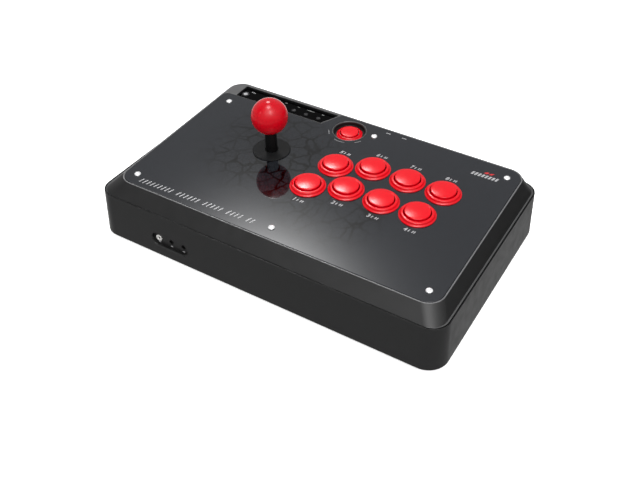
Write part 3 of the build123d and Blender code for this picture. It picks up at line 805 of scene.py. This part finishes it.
def numeral(text, tall, place):
    """Slanted numeral, centred on its place and as thick as the ink of the bars."""
    digit_share = 0.7                    # height of a digit in a font of size 1
    curve = bpy.data.curves.new("numeral", "FONT")
    curve.body = text
    curve.size = tall / digit_share
    curve.extrude = 0.025
    curve.shear = 0.2
    curve.resolution_u = 4
    curve.align_x = curve.align_y = "CENTER"
    curve.offset = 0.04 * tall           # makes the strokes bolder
    holder = bpy.data.objects.new("numeral", curve)
    mesh = bpy.data.meshes.new_from_object(holder)
    bm = bmesh.new()
    bm.from_mesh(mesh)
    bpy.data.objects.remove(holder)
    bmesh.ops.remove_doubles(bm, verts=bm.verts, dist=1e-4)
    bmesh.ops.transform(bm, matrix=place, verts=bm.verts)
    return bm


def marks():
    """Generic print in white and red: numerals at the buttons, and plain bars and arcs."""
    white = []
    for number, (x, y) in enumerate(BUTTONS, 1):
        side = -1 if number <= 4 else 1
        x, y = x - 2.5 * side, y + side * 22.0
        white.append(numeral(str(number), 4.2, on_deck(x - 3.6, y, 0.005)))
        white += bars((1, 2), (x - 0.8, y - 1.5), (x + 6.4, y - 1.5), 3.0, share=0.55)
    white += bars((9, 6, 5, 4, 2), (-142.8, -88.4), (-16.5, -84.3), 5.6, share=0.28, lean=0.4)
    white += bars((8,), (118.3, 76.2), (145.0, 76.2), 4.6, share=0.62, lean=0.3)
    white += bars((3,), (20.6, 94.2), (25.4, 94.2), 1.3, share=0.7)
    white += bars((3,), (37.9, 94.2), (42.7, 94.2), 1.3, share=0.7)
    piece("white_print", merged(white), MATERIALS["ink"])
    arcs = [arc_bar(SMALL_BUTTON, 20.6, 1.0, *ends) for ends in ((207, 224), (252, 285), (313, 332))]
    piece("faint_print", merged(arcs), MATERIALS["faint_ink"])
    red = [prism([(x, 82.6, 0), (x + 3.0, 82.6, 0), (x + 5.0, 85.4, 0), (x + 2.0, 85.4, 0)], INK, DECK)
           for x in (129.0, 133.6)]
    piece("red_print", merged(red), MATERIALS["red_ink"])

    top = STRIP_HIGH.z
    diamond = [(-2.9, 0, 0), (0, -2.7, 0), (2.9, 0, 0), (0, 2.7, 0)]
    key_top = deck_box("home_key")[1].z - 0.15
    mark = prism(diamond, INK, on_deck(*deck_middle("home_key"), key_top))
    piece("home_key_mark", mark, MATERIALS["ink"], "home_key_cap")
    strip = []
    for first, last, y, tall in ((-140.0, -134.8, 92.4, 1.2), (-138.6, -131.0, 76.8, 1.4),
                                 (-72.3, -60.5, 78.4, 1.4), (-54.3, -49.3, 78.6, 1.4)):
        count = round((last - first) / 1.7)
        strip += bars((count,), (first, y), (last, y), tall, share=0.6, height=top)
    piece("strip_print", merged(strip), MATERIALS["ink"])

    x, z = PORT_MIDDLE
    ticks = []
    for dx in (-PORT_PITCH, 0, PORT_PITCH):
        place = front_place(x, z, PORT_DEPTH) @ Matrix.Translation((dx, 0, 0))
        tick = [(-1.3, -5.6, 0), (1.3, -5.6, 0), (1.3, -4.7, 0), (-1.3, -4.7, 0)]
        ticks.append(prism(tick, INK, place))
    piece("socket_marks", merged(ticks), MATERIALS["ink"])


# ---------------------------------------------------------------- carried-over CAD nodes
def carry_over():
    """Gives every CAD node the material that is named after its slot in the record."""
    by_slot = {name: MATERIALS[key] for key, (name, *_) in FINISHES.items()}
    by_slot["panel_gloss"] = MATERIALS["panel"]
    for entry in frame["record"]["subparts"]:
        cad = NODES[entry["node"]]
        cad.data.materials.clear()
        cad.data.materials.append(by_slot[entry["material_slot"]])


# ---------------------------------------------------------------- stage
def camera():
    """Camera from the front right, looking down; the angles are radians and its place is in metres."""
    yaw, pitch, roll = 0.53956, 0.71660, 0.0026
    forward = Vector((-math.sin(yaw) * math.cos(pitch), math.cos(yaw) * math.cos(pitch),
                      -math.sin(pitch)))
    right = Vector((math.cos(yaw), math.sin(yaw), 0))
    up = right.cross(forward)
    right, up = (right * math.cos(roll) + up * math.sin(roll),
                 up * math.cos(roll) - right * math.sin(roll))
    data = bpy.data.cameras.new("camera")
    data.sensor_width, data.lens = 36.0, 45.65
    made = bpy.data.objects.new("camera", data)
    turn = Matrix((right, up, -forward)).transposed().to_4x4()
    made.matrix_world = Matrix.Translation((0.31210, -0.51960, 0.51214)) @ turn
    bpy.context.scene.collection.objects.link(made)
    bpy.context.scene.camera = made


def glow(tree, direction, axis, width, height, strength):
    """Soft glow of a lamp about an axis, with its angular half width and half height in degrees."""
    axis = Vector(axis).normalized()
    across = Vector((0, 0, 1)).cross(axis).normalized()
    squares = []
    for side, size in ((across, width), (axis.cross(across), height)):
        offset = node(tree, "ShaderNodeVectorMath", operation="DOT_PRODUCT")
        tree.links.new(direction, offset.inputs[0])
        offset.inputs[1].default_value = side / math.sin(math.radians(size))
        squares.append(maths(tree, "MULTIPLY", offset.outputs["Value"], offset.outputs["Value"]))
    shape = maths(tree, "POWER", math.exp(-1), maths(tree, "ADD", *squares))
    facing = node(tree, "ShaderNodeVectorMath", operation="DOT_PRODUCT")
    tree.links.new(direction, facing.inputs[0])
    facing.inputs[1].default_value = axis
    ahead = maths(tree, "GREATER_THAN", facing.outputs["Value"], 0.0)
    return maths(tree, "MULTIPLY", maths(tree, "MULTIPLY", shape, ahead), strength)


def studio():
    """A pale floor under an even sky with soft lamps; negative glows are dark flags beside the object."""
    world = bpy.data.worlds.new("studio")
    world.use_nodes = True
    bpy.context.scene.world = world
    tree = world.node_tree
    background = tree.nodes["Background"]
    direction = tree.nodes.new("ShaderNodeTexCoord").outputs["Generated"]
    back_left, front_right = (-0.413, 0.490, 0.768), (0.33, -0.43, 0.84)
    lamps = [(back_left, 4.7, 5.4, 24.0),                # main lamp, mirrored in the panel and the caps
             (back_left, 8.1, 4.9, 2.42),                # its halo
             ((-0.04, -0.04, 1.0), 10, 10, 10.9),        # overhead
             ((-0.54, -0.64, 0.54), 5, 5, 2.0),          # small lamp at the viewer's left
             (front_right, 27, 22, 3.0),                 # wide fill
             ((0.42, -0.40, 0.82), 8, 12, 4.0),          # core of the fill
             ((0.66, 0.75, 0.06), 34, 22, -0.36),        # flag that darkens the right slope
             ((-0.66, -0.45, 0.60), 24, 24, -0.36),      # flag that darkens the front slope
             ((-0.45, 0.58, -0.68), 24, 24, 2.4)]        # glow from below, seen at grazing edges
    parts = node(tree, "ShaderNodeSeparateXYZ")
    tree.links.new(direction, parts.inputs["Vector"])
    light = spread(tree, parts.outputs["Z"], 0.30, 0.49, -0.1, 0.3, smooth=True)   # the sky
    for axis, width, height, strength in lamps:
        light = maths(tree, "ADD", glow(tree, direction, axis, width, height, strength), light)
    tree.links.new(light, background.inputs["Strength"])
    background.inputs["Color"].default_value = (1, 1, 1, 1)

    bm = bmesh.new()
    bmesh.ops.create_grid(bm, x_segments=1, y_segments=1, size=4.0)
    mesh = bpy.data.meshes.new("floor")
    bm.to_mesh(mesh)
    floor = bpy.data.objects.new("floor", mesh)
    floor.location = (0, 0, -0.0002)
    mesh.materials.append(moulded("pale_floor", (0.9, 0.9, 0.9), 0.8, grain=30, depth=0.01, vary=0.01))
    shine = mesh.materials[0].node_tree.nodes["Principled BSDF"]
    shine.inputs["Emission Color"].default_value = (1, 1, 1, 1)
    shine.inputs["Emission Strength"].default_value = 0.6
    floor.visible_glossy = False
    bpy.context.scene.collection.objects.link(floor)
    bpy.context.scene.view_settings.view_transform = "Standard"


BIG = dict(barrel=14.75, crest=13.9, soft=3.5, flange=17.2, height=3.5, bore=12.6, cap=12.1,
           edge=5.2, rise=0.65)
SMALL = dict(barrel=11.75, crest=10.4, soft=0.9, flange=13.3, height=2.7, bore=9.8, cap=9.3,
             edge=3.8, rise=0.3)

camera()
studio()
carry_over()
lower_case()
upper_case()
top_panel()
function_panel()
for number in range(1, 9):
    push_button(f"button_{number}", f"button_housing_{number}", f"button_plunger_{number}",
                f"plunger_{number}", **BIG)
push_button("small_button", "small_button_housing", "small_button_plunger", "small_plunger", **SMALL)
lever()
fasteners()
sockets()
marks()
